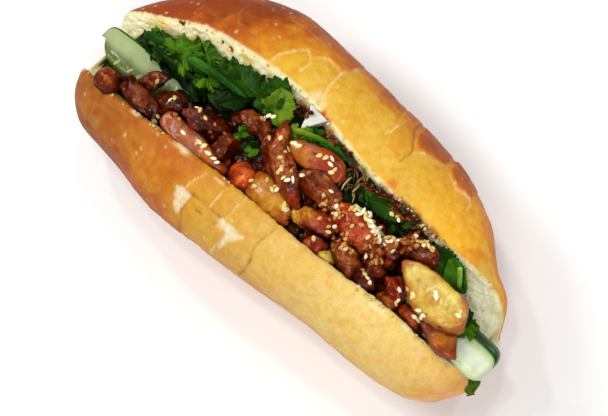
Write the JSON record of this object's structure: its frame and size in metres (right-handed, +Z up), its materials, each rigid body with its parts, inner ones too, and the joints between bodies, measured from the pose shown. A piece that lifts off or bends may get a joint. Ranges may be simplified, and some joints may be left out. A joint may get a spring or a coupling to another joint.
{
  "type": "banh mi sandwich",
  "caption": "Split crusty roll standing on its hinge, open at the top, filled with glazed pork pieces, coriander, cucumber and pickles under scattered sesame.",
  "frame": {"origin": "middle of the sandwich's box at the height of the surface it rests on, under the roll's hinge", "axes": "+X along the roll towards its narrower end, +Y towards the upper half of the bread, +Z up out of the opening"},
  "size_m": [0.2352, 0.1142, 0.0822],
  "materials": {
    "crust": "golden-brown baked crust, matt with a faint sheen, cream crumb inside",
    "glazed_pork": "dark caramel glaze, wet shine",
    "fatty_pork": "translucent amber fat under glaze, wet shine",
    "lean_pork": "reddish brown glazed meat, wet shine",
    "herb": "fresh green coriander leaf",
    "pale_herb": "pale green stalk",
    "dark_herb": "dark green packed herbs",
    "cucumber": "pale wet cucumber flesh with a dark green skin edge",
    "daikon": "white pickled radish",
    "pickle": "thin brownish pickled shreds"
  },
  "bodies": {
    "root": {"bread_roll": "crust", "coriander_left": "herb", "cucumber_left": "cucumber", "cucumber_right": "cucumber", "daikon_piece": "daikon", "greens_bed": "dark_herb", "leaf_dark_middle": "dark_herb", "leaf_end_left": "dark_herb", "leaf_end_right": "herb", "leaf_large": "herb", "leaf_lobed": "herb", "leaf_strip_right": "herb", "leaf_wide_right": "herb", "mince_strip": "glazed_pork", "pickle_shreds": "pickle", "pork_back_left": "glazed_pork", "pork_ball": "lean_pork", "pork_bed": "glazed_pork", "pork_bit_fat_low": "fatty_pork", "pork_bit_low_end": "glazed_pork", "pork_bit_low_right": "glazed_pork", "pork_bit_red_low": "lean_pork", "pork_bit_red_right": "lean_pork", "pork_chunk_left": "glazed_pork", "pork_chunk_left_small": "glazed_pork", "pork_chunk_middle": "lean_pork", "pork_chunk_red": "lean_pork", "pork_chunk_right": "glazed_pork", "pork_curl": "glazed_pork", "pork_dark_chunk": "glazed_pork", "pork_end_knob": "glazed_pork", "pork_fat_middle": "fatty_pork", "pork_fat_slice_back": "fatty_pork", "pork_fat_slice_right": "fatty_pork", "pork_link": "glazed_pork", "pork_low_left": "glazed_pork", "pork_low_middle": "fatty_pork", "pork_mince_middle": "glazed_pork", "pork_slab_back": "glazed_pork", "pork_slab_end": "fatty_pork", "pork_slab_right": "fatty_pork", "pork_strip_diagonal": "glazed_pork", "pork_strip_low_end": "glazed_pork", "pork_strip_rising": "lean_pork", "sprig_end": "herb", "stem_left": "dark_herb", "stem_middle": "pale_herb", "stem_right": "pale_herb"}
  },
  "joints": []
}
